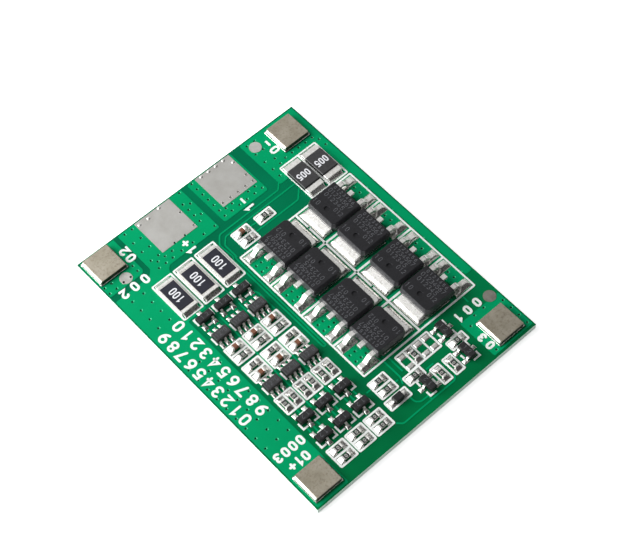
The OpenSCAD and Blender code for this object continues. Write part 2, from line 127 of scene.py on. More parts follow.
class Finish:
    """A Principled material whose variation reads Object coordinates."""

    def __init__(self, name, colour, rough, metal=0.0, specular=0.5):
        self.material = bpy.data.materials.new(name)
        self.material.use_nodes = True
        tree = self.material.node_tree
        self.nodes, self.links = tree.nodes, tree.links
        self.shader = self.nodes["Principled BSDF"]
        for socket, value in (("Base Color", tone(colour)), ("Roughness", rough),
                              ("Metallic", metal), ("Specular IOR Level", specular)):
            self.shader.inputs[socket].default_value = value
        self.place = self.nodes.new("ShaderNodeTexCoord").outputs["Object"]

    def noise(self, per_mm, detail, rough=0.55, stretch=(1, 1, 1)):
        mapping = self.nodes.new("ShaderNodeMapping")
        mapping.inputs["Scale"].default_value = stretch
        self.links.new(self.place, mapping.inputs["Vector"])
        node = self.nodes.new("ShaderNodeTexNoise")
        node.inputs["Scale"].default_value = per_mm / MM
        node.inputs["Detail"].default_value = detail
        node.inputs["Roughness"].default_value = rough
        self.links.new(mapping.outputs["Vector"], node.inputs["Vector"])
        return node.outputs["Fac"]

    def along(self, axis):
        """How far along X, Y or Z, in metres."""
        node = self.nodes.new("ShaderNodeSeparateXYZ")
        self.links.new(self.place, node.inputs["Vector"])
        return node.outputs[axis]

    def facing_up(self):
        """1 on level faces, 0 on walls."""
        geometry = self.nodes.new("ShaderNodeNewGeometry")
        split = self.nodes.new("ShaderNodeSeparateXYZ")
        self.links.new(geometry.outputs["Normal"], split.inputs["Vector"])
        flat = self.nodes.new("ShaderNodeMath")
        flat.operation = "ABSOLUTE"
        self.links.new(split.outputs["Z"], flat.inputs[0])
        return self.ramp(flat.outputs["Value"], 0.4, 0.6, 0, 1)

    def ramp(self, value, low, high, a, b):
        """value from low to high, turned into a number from a to b."""
        node = self.nodes.new("ShaderNodeMapRange")
        for socket, number in zip(("From Min", "From Max", "To Min", "To Max"), (low, high, a, b)):
            node.inputs[socket].default_value = number
        self.links.new(value, node.inputs["Value"])
        return node.outputs["Result"]

    def patches(self, per_mm, detail, low=0.3, high=0.7, rough=0.55, stretch=(1, 1, 1)):
        """Noise between two of its levels, turned into 0 to 1."""
        return self.ramp(self.noise(per_mm, detail, rough, stretch), low, high, 0, 1)

    def blend(self, factor, first, second):
        """A colour between two, each written as #rrggbb or given as a socket."""
        node = self.nodes.new("ShaderNodeMix")
        node.data_type = "RGBA"
        self.links.new(factor, node.inputs["Factor"])
        for socket, value in ((node.inputs[6], first), (node.inputs[7], second)):
            if isinstance(value, str):
                socket.default_value = tone(value)
            else:
                self.links.new(value, socket)
        return node.outputs[2]

    def colour(self, socket):
        self.links.new(socket, self.shader.inputs["Base Color"])

    def two_tones(self, first, second, per_mm, detail, low=0.3, high=0.7):
        """Colours the surface in patches of two tones."""
        self.colour(self.blend(self.patches(per_mm, detail, low, high), first, second))

    def roughness(self, socket):
        self.links.new(socket, self.shader.inputs["Roughness"])

    def uneven_gloss(self, smoothest, roughest, per_mm, detail):
        self.roughness(self.ramp(self.noise(per_mm, detail), 0.3, 0.7, smoothest, roughest))

    def bump(self, depth_mm, per_mm, detail, strength=0.5):
        node = self.nodes.new("ShaderNodeBump")
        node.inputs["Strength"].default_value = strength
        node.inputs["Distance"].default_value = depth_mm * MM
        self.links.new(self.noise(per_mm, detail), node.inputs["Height"])
        self.links.new(node.outputs["Normal"], self.shader.inputs["Normal"])


def masked_laminate():
    """Green mask over the board's laminate, pale at the cut edges."""
    f = Finish("mask_on_laminate", "#00714a", 0.5, specular=0.04)
    patches = f.patches(0.06, 2, 0.35, 0.65)
    side = f.ramp(f.along("Y"), -0.028, 0.02, 0, 1)
    green = f.blend(side, f.blend(patches, "#00683a", "#007c45"),
                    f.blend(patches, "#006544", "#007850"))
    layers = f.patches(0.9, 2, 0.4, 0.6, stretch=(0.2, 0.2, 6))
    f.colour(f.blend(f.facing_up(), f.blend(layers, "#effdf4", "#daf3e4"), green))
    f.bump(0.012, 1.1, 2)
    return f


def masked_copper():
    f = Finish("mask_on_copper", "#009e68", 0.45, specular=0.05)
    f.two_tones("#00965f", "#00a168", 0.09, 3)
    f.uneven_gloss(0.4, 0.52, 2.2, 3)
    f.bump(0.012, 0.9, 3)
    return f


def mask_on_rim():
    """Thin mask that shines where it turns down into a plated hole."""
    f = Finish("mask_on_rim", "#2fa97c", 0.25, metal=0.6)
    f.two_tones("#239a6c", "#43b98c", 3, 2)
    return f


def mask_bowl_painted_shade():
    # painted shade: the mask in a hole's bowl is coloured dark green
    f = Finish("mask_bowl_painted_shade", "#00512f", 0.16, specular=0.6)
    f.two_tones("#004a2c", "#005c38", 3, 2)
    return f


def metal_bowl_painted_shade():
    # painted shade: the bowl of an open hole is coloured dark grey
    f = Finish("metal_bowl_painted_shade", "#4a4844", 0.3, metal=0.6)
    f.two_tones("#3d3b38", "#5b5954", 3, 2)
    return f


def printed_ink():
    f = Finish("printed_ink", "#f6f9f7", 0.6, specular=0.3)
    f.two_tones("#fdfefd", "#f3f7f4", 3.5, 3, 0.3, 0.75)
    f.bump(0.006, 5, 2)
    return f


def bright_solder():
    f = Finish("bright_solder", "#dddcd8", 0.24, metal=0.9)
    f.two_tones("#e6e5e2", "#c8c5bf", 1.6, 3, 0.35)
    f.uneven_gloss(0.2, 0.34, 2.4, 3)
    f.bump(0.008, 1.1, 1, 0.6)
    return f


def plated_lead():
    f = Finish("plated_lead", "#eceae6", 0.3, metal=0.75)
    f.two_tones("#f3f2ef", "#dad8d3", 2, 3, 0.35)
    f.uneven_gloss(0.22, 0.4, 3, 3)
    f.bump(0.006, 2.5, 2)
    return f


def matt_tin():
    f = Finish("matt_tin", "#b7b6b2", 0.5, metal=0.55)
    f.two_tones("#b5b4b0", "#a9a7a2", 0.45, 4, 0.35)
    f.uneven_gloss(0.42, 0.58, 1.2, 3)
    f.bump(0.02, 0.6, 3)
    return f


def tap_pad_tin():
    """Tin on the tap pads, darker and more blotched towards -Y, away from the outputs."""
    f = Finish("tap_pad_tin", "#a9a8a2", 0.5, metal=0.55)
    # darker and more blotched towards -Y, lighter towards the outputs
    toward_outputs = f.ramp(f.along("Y"), -0.02, 0.024, 0, 1)
    blotches = f.patches(0.9, 4, 0.35, 0.65, 0.65)
    f.colour(f.blend(toward_outputs, f.blend(blotches, "#8c8a81", "#74726a"),
                     f.blend(blotches, "#c1c0bc", "#b1b0ab")))
    f.uneven_gloss(0.42, 0.6, 1.2, 3)
    f.bump(0.015, 1.4, 3)
    return f


def weld_tab_metal():
    """Stained and specked metal; its walls are coloured darker, as painted shade."""
    f = Finish("weld_tab_metal", "#a8a192", 0.42, metal=0.85)
    stain = f.patches(0.35, 4, 0.35, 0.68, 0.6)
    specks = f.patches(2.6, 4, 0.5, 0.72, 0.7)
    face = f.blend(specks, f.blend(stain, "#ada697", "#9a9382"), "#857c6d")
    # painted shade: the walls are coloured darker than the level face
    f.colour(f.blend(f.facing_up(), "#57524a", face))
    f.uneven_gloss(0.36, 0.52, 1.5, 4)
    f.bump(0.008, 2.2, 4)
    return f


def charcoal_mould():
    """The power transistors' moulding: dull level tops, and glossier walls coloured paler, as
    painted light.
    """
    f = Finish("charcoal_mould", "#121215", 0.5, specular=0.3)
    grain = f.patches(4, 4)
    # painted light: the walls are coloured paler than the level tops
    f.colour(f.blend(f.facing_up(), f.blend(grain, "#424245", "#4e4e51"),
                     f.blend(grain, "#111114", "#1e1e22")))
    f.roughness(f.ramp(f.facing_up(), 0, 1, 0.24, 0.55))
    f.bump(0.008, 14, 2, 0.6)
    return f


def black_mould():
    f = Finish("black_mould", "#161618", 0.42, specular=0.4)
    top = f.blend(f.patches(2.5, 4, 0.35), "#111113", "#252527")
    # painted shade: the walls are coloured darker than the level top
    f.colour(f.blend(f.facing_up(), "#0a0a0b", top))
    f.uneven_gloss(0.34, 0.55, 2, 3)
    f.bump(0.012, 7, 3, 0.6)
    return f


def grey_mould():
    f = Finish("grey_mould", "#1d1d1f", 0.4, specular=0.7)
    top = f.blend(f.patches(2.5, 4, 0.35), "#19191b", "#2b2b2d")
    # painted shade: the walls are coloured darker than the level top
    f.colour(f.blend(f.facing_up(), "#0f0f11", top))
    f.bump(0.012, 9, 3, 0.6)
    return f


def laser_mark():
    f = Finish("laser_mark", "#5b5c60", 0.7, specular=0.2)
    f.two_tones("#66676b", "#48494d", 5, 3, 0.35, 0.65)
    return f


def navy_glaze():
    f = Finish("navy_glaze", "#20212c", 0.3, specular=0.35)
    f.two_tones("#1d1e29", "#262733", 0.8, 3)
    f.bump(0.01, 0.9, 2)
    return f


def white_ceramic():
    f = Finish("white_ceramic", "#e9e7e1", 0.5)
    f.two_tones("#eceae5", "#dddad2", 6, 2)
    f.bump(0.008, 9, 2)
    return f


def glaze_print():
    f = Finish("glaze_print", "#f3f4f8", 0.5)
    f.two_tones("#f8f9fb", "#e3e5ec", 5, 3)
    return f


def dark_glaze():
    f = Finish("dark_glaze", "#242627", 0.35, specular=0.4)
    f.two_tones("#2b2d2e", "#3d3f3f", 3, 3)
    f.bump(0.006, 4, 2)
    return f


def faint_print():
    f = Finish("faint_print", "#b2b3ad", 0.6)
    f.two_tones("#bcbdb7", "#a2a39d", 6, 3)
    return f


def tan_ceramic():
    f = Finish("tan_ceramic", "#7d4f39", 0.4)
    f.two_tones("#87563d", "#6c4431", 3, 3)
    f.bump(0.006, 7, 2)
    return f


MASK = masked_laminate()
COPPER = masked_copper()
RIM = mask_on_rim()
MASK_BOWL_PAINTED_SHADE = mask_bowl_painted_shade()
METAL_BOWL_PAINTED_SHADE = metal_bowl_painted_shade()
INK = printed_ink()
SOLDER = bright_solder()
LEAD = plated_lead()
TIN = matt_tin()
TAP_TIN = tap_pad_tin()
TAB = weld_tab_metal()
MOULD = charcoal_mould()
BLACK = black_mould()
GREY = grey_mould()
LASER = laser_mark()
NAVY = navy_glaze()
CERAMIC = white_ceramic()
PRINT = glaze_print()
GLAZE = dark_glaze()
FAINT = faint_print()
TAN = tan_ceramic()


# ---- shapes, each a bmesh in millimetres ----

def block(low, high, soften=0.0, segments=2):
    """A box with its edges rounded."""
    mesh = bmesh.new()
    bmesh.ops.create_cube(mesh, size=1)
    size = Vector(high) - Vector(low)
    bmesh.ops.scale(mesh, vec=size, verts=mesh.verts)
    bmesh.ops.translate(mesh, vec=(Vector(high) + Vector(low)) / 2, verts=mesh.verts)
    return rounded(mesh, mesh.edges, soften, segments)


def rounded(mesh, edges, soften, segments=2):
    """The same shape with these edges rounded, or cut flat with one segment."""
    if soften:
        bmesh.ops.bevel(mesh, geom=list(edges), offset=soften, offset_type="OFFSET",
                        affect="EDGES", segments=segments, profile=0.5, material=-1,
                        clamp_overlap=True)
    return mesh


def moulding(size, lean, part, lift=0.0, corner=0.0):
    """A moulded body whose walls lean in above and below the line where the mould parts."""
    length, width, height = size
    mesh = block((-length / 2, -width / 2, lift), (length / 2, width / 2, lift + height))
    if corner:
        upright = [e for e in mesh.edges if abs(e.verts[0].co.z - e.verts[1].co.z) > height / 2
                   and e.verts[0].co.x > 0]
        rounded(mesh, upright, corner, 1)
    bmesh.ops.bisect_plane(mesh, geom=mesh.verts[:] + mesh.edges[:] + mesh.faces[:],
                           plane_co=(0, 0, lift + part), plane_no=(0, 0, 1))
    ends = [v for v in mesh.verts if abs(v.co.z - lift - part) > part / 4]
    bmesh.ops.scale(mesh, vec=(1 - 2 * lean / length, 1 - 2 * lean / width, 1), verts=ends)
    return rounded(mesh, mesh.edges, MOULD_EDGE)


def bent(points, reach, steps=4):
    """An open path with its corners rounded."""
    path = [Vector(points[0])]
    for before, here, after in zip(points, points[1:], points[2:]):
        here = Vector(here)
        back = (Vector(before) - here).normalized() * reach
        on = (Vector(after) - here).normalized() * reach
        path += [here + back * (1 - i / steps) ** 2 + on * (i / steps) ** 2
                 for i in range(steps + 1)]
    return path + [Vector(points[-1])]


def swept(path, width, thick):
    """A flat strip that follows a path of (out, up) points, lying across Y."""
    mesh = bmesh.new()
    bmesh.ops.create_grid(mesh, x_segments=1, y_segments=1, size=0.5)
    places = []
    for i, here in enumerate(path):
        into = (here - path[i - 1]).normalized() if i else (path[1] - here).normalized()
        on = (path[i + 1] - here).normalized() if i + 1 < len(path) else into
        way = (into + on).normalized()
        miter = 1 / max(0.5, way.dot(into))
        turn = Matrix(((-way.y * miter, 0, way.x, here.x), (0, 1, 0, 0),
                       (way.x * miter, 0, way.y, here.y), (0, 0, 0, 1)))
        places.append(turn @ Matrix.Diagonal((thick, width, 1, 1)))
    mesh.transform(places[0])
    end = mesh.faces[:]
    for before, place in zip(places, places[1:]):
        made = bmesh.ops.extrude_face_region(mesh, geom=end)["geom"]
        corners = [g for g in made if isinstance(g, bmesh.types.BMVert)]
        bmesh.ops.transform(mesh, matrix=place @ before.inverted(), verts=corners)
        end = [g for g in made if isinstance(g, bmesh.types.BMFace)]
    bmesh.ops.recalc_face_normals(mesh, faces=mesh.faces)
    return mesh


def disc(radius, low, high):
    """A round end for a printed stroke."""
    mesh = bmesh.new()
    bmesh.ops.create_cone(mesh, cap_ends=True, segments=10, radius1=radius, radius2=radius,
                          depth=high - low)
    bmesh.ops.translate(mesh, vec=(0, 0, (low + high) / 2), verts=mesh.verts)
    return mesh


def at(x, y, z=0.0, turn=0.0):
    """The place of a shape drawn in millimetres, in the board's frame in metres."""
    return (TO_METRES @ Matrix.Translation((x, y, z))
            @ Matrix.Rotation(math.radians(turn), 4, "Z"))


class Part:
    """A piece in the making: its mesh, its faces' finishes, and the nodes that it stands for."""

    def __init__(self, name, slot, *nodes):
        self.name, self.slot, self.nodes = name, slot, nodes
        self.mesh, self.finishes = bmesh.new(), []

    def add(self, shape, finish, place, smooth=False):
        if finish not in self.finishes:
            self.finishes.append(finish)
        for face in shape.faces:
            face.material_index = self.finishes.index(finish)
            face.smooth = smooth
        shape.transform(place)
        scratch = bpy.data.meshes.new("scratch")
        shape.to_mesh(scratch)
        shape.free()
        self.mesh.from_mesh(scratch)
        bpy.data.meshes.remove(scratch)

    def done(self):
        data = bpy.data.meshes.new(self.name)
        self.mesh.to_mesh(data)
        self.mesh.free()
        for finish in self.finishes:
            data.materials.append(finish.material)
        piece = bpy.data.objects.new(self.name, data)
        bpy.context.scene.collection.objects.link(piece)
        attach(piece, ROOT)
        if self.nodes:
            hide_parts(*self.nodes)
        return piece


# ---- what the frame says ----

def merged_copy(node):
    """A copy of a node's mesh, its loose triangles joined."""
    mesh = bmesh.new()
    mesh.from_mesh(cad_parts[node].data)
    bmesh.ops.remove_doubles(mesh, verts=mesh.verts, dist=1e-7)
    return mesh


def shells(node):
    """The lowest and highest corners, in millimetres, of each separate solid of a node."""
    return groups(merged_copy(node))


def groups(mesh):
    """The lowest and highest corners, in millimetres, of each connected group of a mesh's faces.
    The mesh is freed."""
    left, boxes = set(mesh.faces), []
    while left:
        stack, corners = [left.pop()], []
        while stack:
            face = stack.pop()
            for vert in face.verts:
                corners.append(vert.co)
                for other in vert.link_faces:
                    if other in left:
                        left.remove(other)
                        stack.append(other)
        boxes.append(tuple(Vector(pick(c[i] for c in corners) / MM for i in range(3))
                           for pick in (min, max)))
    mesh.free()
    return sorted(boxes, key=lambda b: tuple(round(c, 3) for c in b[0]))


def bores(node):
    """The middle of each round bore through a flat node, and the height of its top."""
    mesh = merged_copy(node)
    level = [f for f in mesh.faces if abs(f.normal.z) >= 0.1]
    bmesh.ops.delete(mesh, geom=level, context="FACES_ONLY")
    found = []
    for low, high in groups(mesh):
        size = high - low
        if 0.2 < size.x < 0.6 and abs(size.x - size.y) < 0.05:
            found.append(Vector(((low.x + high.x) / 2, (low.y + high.y) / 2, high.z)))
    return found


def middle(box):
    return (box[0].x + box[1].x) / 2, (box[0].y + box[1].y) / 2


def node_box(node):
    return tuple(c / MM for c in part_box(node))


# ---- numbers and signs ----

def arc(x, y, rx, ry, start, end, steps=10):
    """Points round part of an ellipse, from one angle to another in degrees."""
    return [Vector((x + rx * math.cos(math.radians(start + (end - start) * i / steps)),
                    y + ry * math.sin(math.radians(start + (end - start) * i / steps))))
            for i in range(steps + 1)]


def line(*points):
    return [Vector(p) for p in points]


def half_turned(strokes):
    return [[Vector((SIGN_WIDTH - p.x, 1 - p.y)) for p in s] for s in strokes]


# the strokes of each sign, drawn in a box 0.6 wide and 1 tall
SIGN_WIDTH = 0.6
SIX_STROKES = [arc(0.3, 0.3, 0.3, 0.3, 0, 360, 14), arc(0.66, 0.32, 0.66, 0.68, 178, 104, 6)]
STROKES = {
    "0": [arc(0.3, 0.7, 0.28, 0.3, 180, 0) + arc(0.3, 0.3, 0.28, 0.3, 0, -180)
          + line((0.02, 0.7))],
    "1": [line((0.12, 0.8), (0.34, 1), (0.34, 0))],
    "2": [arc(0.3, 0.7, 0.29, 0.3, 160, -42) + line((0, 0), (0.6, 0))],
    "3": [arc(0.29, 0.75, 0.27, 0.25, 150, -90), arc(0.29, 0.25, 0.3, 0.25, 90, -150)],
    "4": [line((0.45, 0), (0.45, 1), (0, 0.3), (0.62, 0.3))],
    "5": [line((0.56, 1), (0.08, 1), (0.04, 0.56)) + arc(0.28, 0.32, 0.31, 0.32, 100, -150)],
    "6": SIX_STROKES,
    "7": [line((0, 1), (0.6, 1), (0.2, 0))],
    "8": [arc(0.3, 0.76, 0.24, 0.24, 0, 360), arc(0.3, 0.27, 0.29, 0.27, 0, 360, 14)],
    "9": half_turned(SIX_STROKES),
    "+": [line((0, 0.5), (0.6, 0.5)), line((0.3, 0.2), (0.3, 0.8))],
    "-": [line((0, 0.5), (0.6, 0.5))],
}


# each stroke of a figure, and each of its round ends, lies a little deeper than the one before,
# so that no two faces coincide
STROKE_STEP = 0.004
END_STEPS = (0.0015, 0.0025)


def write(part, finish, text, corner, turn, tall, length, weight, low, high):
    """Numbers in even strokes; corner is the start of the base line, in the board's frame."""
    wide = min(0.62 * tall, 0.7 * length / len(text))
    step = (length - wide) / max(1, len(text) - 1)
    flat = Matrix.Translation((0, 0, (low + high) / 2)) @ Matrix.Rotation(-math.pi / 2, 4, "X")
    for number, sign in enumerate(text):
        place = at(*corner, 0, turn) @ Matrix.Translation((step * number, 0, 0))
        for layer, stroke in enumerate(STROKES[sign]):
            points = [Vector((p.x / SIGN_WIDTH * wide, p.y * tall)) for p in stroke]
            ribbon = swept(points, high - low, weight)
            ribbon.transform(flat)
            sunk = STROKE_STEP * layer
            part.add(ribbon, finish, place @ Matrix.Translation((0, 0, -sunk)))
            for deeper, end in zip(END_STEPS, (points[0], points[-1])):
                part.add(disc(weight / 2, low, high), finish,
                         place @ Matrix.Translation((end.x, end.y, -deeper - sunk)))


def print_band(top, proud=0.004):
    """The heights between which print lies on a part that is so tall above the lands."""
    return LAND_TOP + top - PRINT_DEPTH, LAND_TOP + top + proud


# ---- parts ----

CONTACTS = []  # where metal stands on a land: low and high corner on the board, and height


def touches(place, low, high, height):
    """Notes where a lead or an end cap stands, for the solder that climbs it."""
    corners = [place @ Vector((x, y, 0)) / MM for x in (low[0], high[0]) for y in (low[1], high[1])]
    CONTACTS.append((min(c.x for c in corners), min(c.y for c in corners),
                     max(c.x for c in corners), max(c.y for c in corners), height))


def small_body(node, kit, turn, finish):
    """A small moulded part begun with its body, and the place of its middle on the lands."""
    part = Part(node + "_part", "mould", node)
    place = at(*middle(node_box(node)), LAND_TOP, turn)
    part.add(moulding(kit["body"], SMALL_LEAN, kit["body"][2] / 2, kit["lift"]), finish, place)
    return part, place


def gull_leads(part, place, spots, kit, wall):
    """Small leads that step down from a moulded body; spots are (along, side)."""
    path = bent([(wall - SMALL_LEAD["in"], kit["up"]), (wall + SMALL_LEAD["level"], kit["up"]),
                 (wall + SMALL_LEAD["foot"], LEAD_T / 2), (kit["toe"], LEAD_T / 2)],
                SMALL_LEAD["bend"])
    for along, side in spots:
        spot = place @ Matrix.Translation((along, 0, 0)) @ Matrix.Rotation(
            side * math.pi / 2, 4, "Z")
        part.add(swept(path, kit["lead_w"], LEAD_T), LEAD, spot)
        touches(spot, (wall + SMALL_LEAD["solder"], -kit["lead_w"] / 2),
                (kit["toe"], kit["lead_w"] / 2), LEAD_T + 0.03)


def small_figures(part, place, turn, kit):
    """Faint figures on a small body's level top, read along the body."""
    text, tall, long = kit["figures"]
    base = place @ Vector((-long / 2, -tall / 2, 0)) / MM
    write(part, LASER, text, (base.x, base.y), turn, tall, long, STROKE_ON["small body"],
          *print_band(kit["lift"] + kit["body"][2]))


def three_lead(node, turn):
    part, place = small_body(node, SOT, turn, BLACK)
    small_figures(part, place, turn, SOT)
    gull_leads(part, place, [(-LEAD_PITCH, -1), (LEAD_PITCH, -1), (0, 1)], SOT,
               SOT["body"][1] / 2)
    return part.done()


def six_lead(node):
    part, place = small_body(node, SIX, 0, GREY)
    small_figures(part, place, 0, SIX)
    gull_leads(part, place, [(i * LEAD_PITCH, s) for i in (-1, 0, 1) for s in (-1, 1)], SIX,
               SIX["body"][1] / 2)
    return part.done()


def diode(node):
    part, place = small_body(node, DIODE, 0, BLACK)
    gull_leads(part, place @ Matrix.Rotation(math.pi / 2, 4, "Z"), [(0, -1), (0, 1)], DIODE,
               DIODE["body"][0] / 2)
    return part.done()


def power_transistor(node, turn):
    part = Part(node + "_part", "power_mould", node)
    low, high = node_box(node)
    edge, reach = FET["body"][0] / 2, FET["tab"][0]
    # the metal tab ends at one side of the node's box
    x = low.x + reach + edge if turn else high.x - reach - edge
    place = at(x, (low.y + high.y) / 2, LAND_TOP, turn)
    body = moulding(FET["body"], FET["lean"], FET["part"], corner=FET["corner"])
    part.add(dished(body, edge - EJECTOR_MARK["from_edge"]), MOULD, place)
    metal_tab(part, place)
    if turn:
        solder_coat(part, place)
    power_leads(part, place)
    power_figures(part, place, turn)
    return part.done()


def dished(body, x):
    """Sinks a round ejector mark into the level top of a moulded body."""
    top = max(body.faces, key=lambda f: (round(f.calc_center_median().z, 4), f.calc_area()))
    rim = top.edges[:]
    level = top.calc_center_median().z
    bmesh.ops.delete(body, geom=[top], context="FACES_ONLY")
    ring = bmesh.ops.create_circle(body, segments=28, radius=EJECTOR_MARK["radius"],
                                   matrix=Matrix.Translation((x, 0, level)))["verts"]
    hoop = list({e for v in ring for e in v.link_edges})
    bmesh.ops.triangle_fill(body, edges=rim + hoop, use_beauty=True, normal=(0, 0, 1))
    sunk = bmesh.ops.extrude_edge_only(body, edges=hoop)["geom"]
    floor = [g for g in sunk if isinstance(g, bmesh.types.BMVert)]
    bmesh.ops.translate(body, vec=(0, 0, -EJECTOR_MARK["depth"]), verts=floor)
    bmesh.ops.contextual_create(body, geom=[g for g in sunk if isinstance(g, bmesh.types.BMEdge)])
    bmesh.ops.recalc_face_normals(body, faces=body.faces)
    return body


def metal_tab(part, place):
    """The tab that carries a power transistor, its outer corners and its top edges rounded."""
    edge = FET["body"][0] / 2
    reach, width, thick = FET["tab"]
    side = width / 2 - 0.1
    tab = block((0, -side, 0), (edge + reach, side, thick))
    rounded(tab, [e for e in tab.edges if min(v.co.x for v in e.verts) > edge
                  and abs(e.verts[0].co.z - e.verts[1].co.z) > thick / 2], 0.4, 4)
    rounded(tab, [e for e in tab.edges if min(v.co.z for v in e.verts) > thick - 1e-4], 0.06)
    part.add(tab, LEAD, place)
    touches(place, (0, -width / 2), (edge + reach, width / 2), thick)


def solder_coat(part, place):
    """Bright solder that has run up the tab and thickens towards the body."""
    edge = FET["body"][0] / 2
    reach, width, thick = FET["tab"]
    side = width / 2 - 0.25
    coat = block((edge - 0.1, -side, thick - 0.1), (edge + reach - 0.12, side, thick + 0.015))
    for vert in coat.verts:
        if vert.co.x < edge and vert.co.z > thick:
            vert.co.z = thick + 0.2
    part.add(rounded(coat, coat.edges, 0.03), LEAD, place)


def power_leads(part, place):
    """Two leads bent down to their lands, and the middle one cut short in the air."""
    edge, level = FET["body"][0] / 2, FET["part"]
    wide, thick = FET["lead_w"], FET["lead_t"]
    path = bent([(edge - 0.5, level), (edge + FET["level"], level), (edge + FET["foot"], thick / 2),
                 (edge + FET["lead"], thick / 2)], 0.3)
    for side in (-1, 1):
        lead = swept(path, wide, thick)
        rounded(lead, [e for e in lead.edges if e.calc_face_angle(0) > 1.2], 0.05)
        spot = place @ Matrix.Translation((0, side * FET["pitch"] / 2, 0)) @ Matrix.Rotation(
            math.pi, 4, "Z")
        part.add(lead, LEAD, spot)
        touches(spot, (edge + FET["foot"], -wide / 2), (edge + FET["lead"], wide / 2), thick)
    part.add(block((-edge - FET["cut"], -wide / 2, level - thick / 2),
                   (-edge + 0.5, wide / 2, level + thick / 2), 0.04), LEAD, place)


def power_figures(part, place, turn):
    for out, start, text, tall, long in FET_FIGURES:
        base = place @ Vector((out + tall / 2, start, 0)) / MM
        write(part, LASER, text, (base.x, base.y), turn + 90, tall, long,
              STROKE_ON["power body"], *print_band(FET["body"][2], 0.006))


def core(size, sunk, soften):
    """The ceramic between a chip's end caps, its top sunk below the part's."""
    length, width, height = size
    return block((-length / 2 + 0.05, -width / 2 + 0.02, 0.02),
                 (length / 2 - 0.05, width / 2 - 0.02, height - sunk), soften)


def end_caps(part, place, size, cap, soften):
    length, width, height = size
    for side in (-1, 1):
        low = (side * length / 2 if side < 0 else length / 2 - cap, -width / 2, 0)
        high = (-length / 2 + cap if side < 0 else length / 2, width / 2, height)
        part.add(block(low, high, soften), LEAD, place)
        touches(place, low, high, height)


def chip_places(node):
    """Where each chip of a node stands, how it is turned, and its size."""
    for low, high in shells(node):
        size = high - low
        along_x = size.x >= size.y
        length, width = (size.x, size.y) if along_x else (size.y, size.x)
        yield middle((low, high)), 0 if along_x else 90, (length, width, size.z)


def chip_resistors(node):
    part = Part(node + "_part", "chip_coat", node)
    for (x, y), turn, size in chip_places(node):
        place = at(x, y, LAND_TOP, turn)
        _, width, height = size
        end, side = CHIP_RESISTOR["coat"] / 2, width / 2 - CHIP_RESISTOR["coat_in"]
        part.add(core(size, CHIP_RESISTOR["sunk"], 0.02), CERAMIC, place)
        part.add(block((-end, -side, height - CHIP_RESISTOR["coat_t"]), (end, side, height - 0.004),
                       0.025), GLAZE, place)
        end_caps(part, place, size, CHIP_RESISTOR["cap"], 0.06)
        start = place @ Vector((-0.16, -0.22, 0)) / MM
        write(part, FAINT, "0", (start.x, start.y), turn, 0.44, 0.5, STROKE_ON["chip"],
              *print_band(height, 0))
    return part.done()


def chip_capacitor(node):
    part = Part(node + "_part", "capacitor_body", node)
    for (x, y), turn, size in chip_places(node):
        place = at(x, y, LAND_TOP, turn)
        part.add(core(size, CHIP_CAPACITOR["sunk"], 0.05), TAN, place)
        end_caps(part, place, size, CHIP_CAPACITOR["cap"], 0.09)
    return part.done()


def balance_resistor(node):
    """White ceramic with a navy coat, lower end caps and the figures of its value."""
    part = Part(node + "_part", "resistor_coat", node)
    (x, y), turn, (length, width, height) = next(chip_places(node))
    place = at(x, y, LAND_TOP, turn)
    end, side = (c / 2 for c in BALANCE_RESISTOR["coat"])
    part.add(core((length, width, height), BALANCE_RESISTOR["sunk"], 0.03), CERAMIC, place)
    part.add(block((-end, -side, height - BALANCE_RESISTOR["coat_t"]), (end, side, height), 0.05,
                   3), NAVY, place)
    end_caps(part, place, (length, width, height - BALANCE_RESISTOR["cap_below"]),
             BALANCE_RESISTOR["cap"], 0.06)
    write(part, PRINT, "100", (x + 0.62, y - 1.2), 90, 1.3, 2.4, STROKE_ON["coat"],
          *print_band(height))
    return part.done()


def shunt(node):
    """A metal strip whose middle is coated."""
    part = Part(node + "_part", "shunt_coat", node)
    (x, y), turn, (length, width, height) = next(chip_places(node))
    place = at(x, y, LAND_TOP, turn)
    end, coated, side = length / 2, SHUNT["coat"] / 2, SHUNT["width"] / 2
    thick = SHUNT["thick"]
    part.add(block((-end, -side, 0), (end, side, thick), 0.07), LEAD, place)
    for low, high in ((-end, -coated), (coated, end)):
        touches(place, (low, -side), (high, side), thick)
    part.add(block((-coated, -width / 2, 0.02), (coated, width / 2, height), 0.16, 4), GREY, place)
    write(part, PRINT, "005", (x + 1.1, y + 0.55), 180, 1.1, 2.2, STROKE_ON["coat"],
          *print_band(height))
    return part.done()


def weld_tab(node):
    """A tab of thick strip, with a sloping bead of solder along its -X side."""
    part = Part(node + "_part", "tab_metal", node)
    low, high = node_box(node)
    tab = block(low, high)
    rounded(tab, [e for e in tab.edges if abs(e.verts[0].co.z - e.verts[1].co.z) > 0.5],
            WELD_TAB["corner"], 3)
    rounded(tab, [e for e in tab.edges if min(v.co.z for v in e.verts) > high.z - 1e-4],
            WELD_TAB["top_edge"], 3)
    part.add(tab, TAB, TO_METRES)
    part.add(solder_bead(low, high), SOLDER, TO_METRES, smooth=True)
    # the land's solder climbs towards the inside of the tab, so that little of it shows
    CONTACTS.append((low.x + 0.8, low.y + 0.5, high.x - 0.2, high.y, 0.4))
    return part.done()


def solder_bead(low, high):
    """Solder that slopes up a weld tab's side."""
    bead = block((low.x - BEAD["out"], low.y + 0.1, LAND_TOP - 0.02),
                 (low.x + 0.1, high.y - 0.08, high.z - 0.04))
    for vert in bead.verts:
        if vert.co.x < low.x and vert.co.z > LAND_TOP:
            vert.co.z = high.z - BEAD["down"]
    return rounded(bead, bead.edges, 0.12, 4)


# ---- solder ----

# lands at least this long lie under a weld tab or a power transistor, and their solder stays this
# far from the end that is nearest to -Y
LONG_LAND = 5.5
LONG_LAND_GAP = 0.28
THINNING = 0.22  # the solder thins out this far from a land's edge


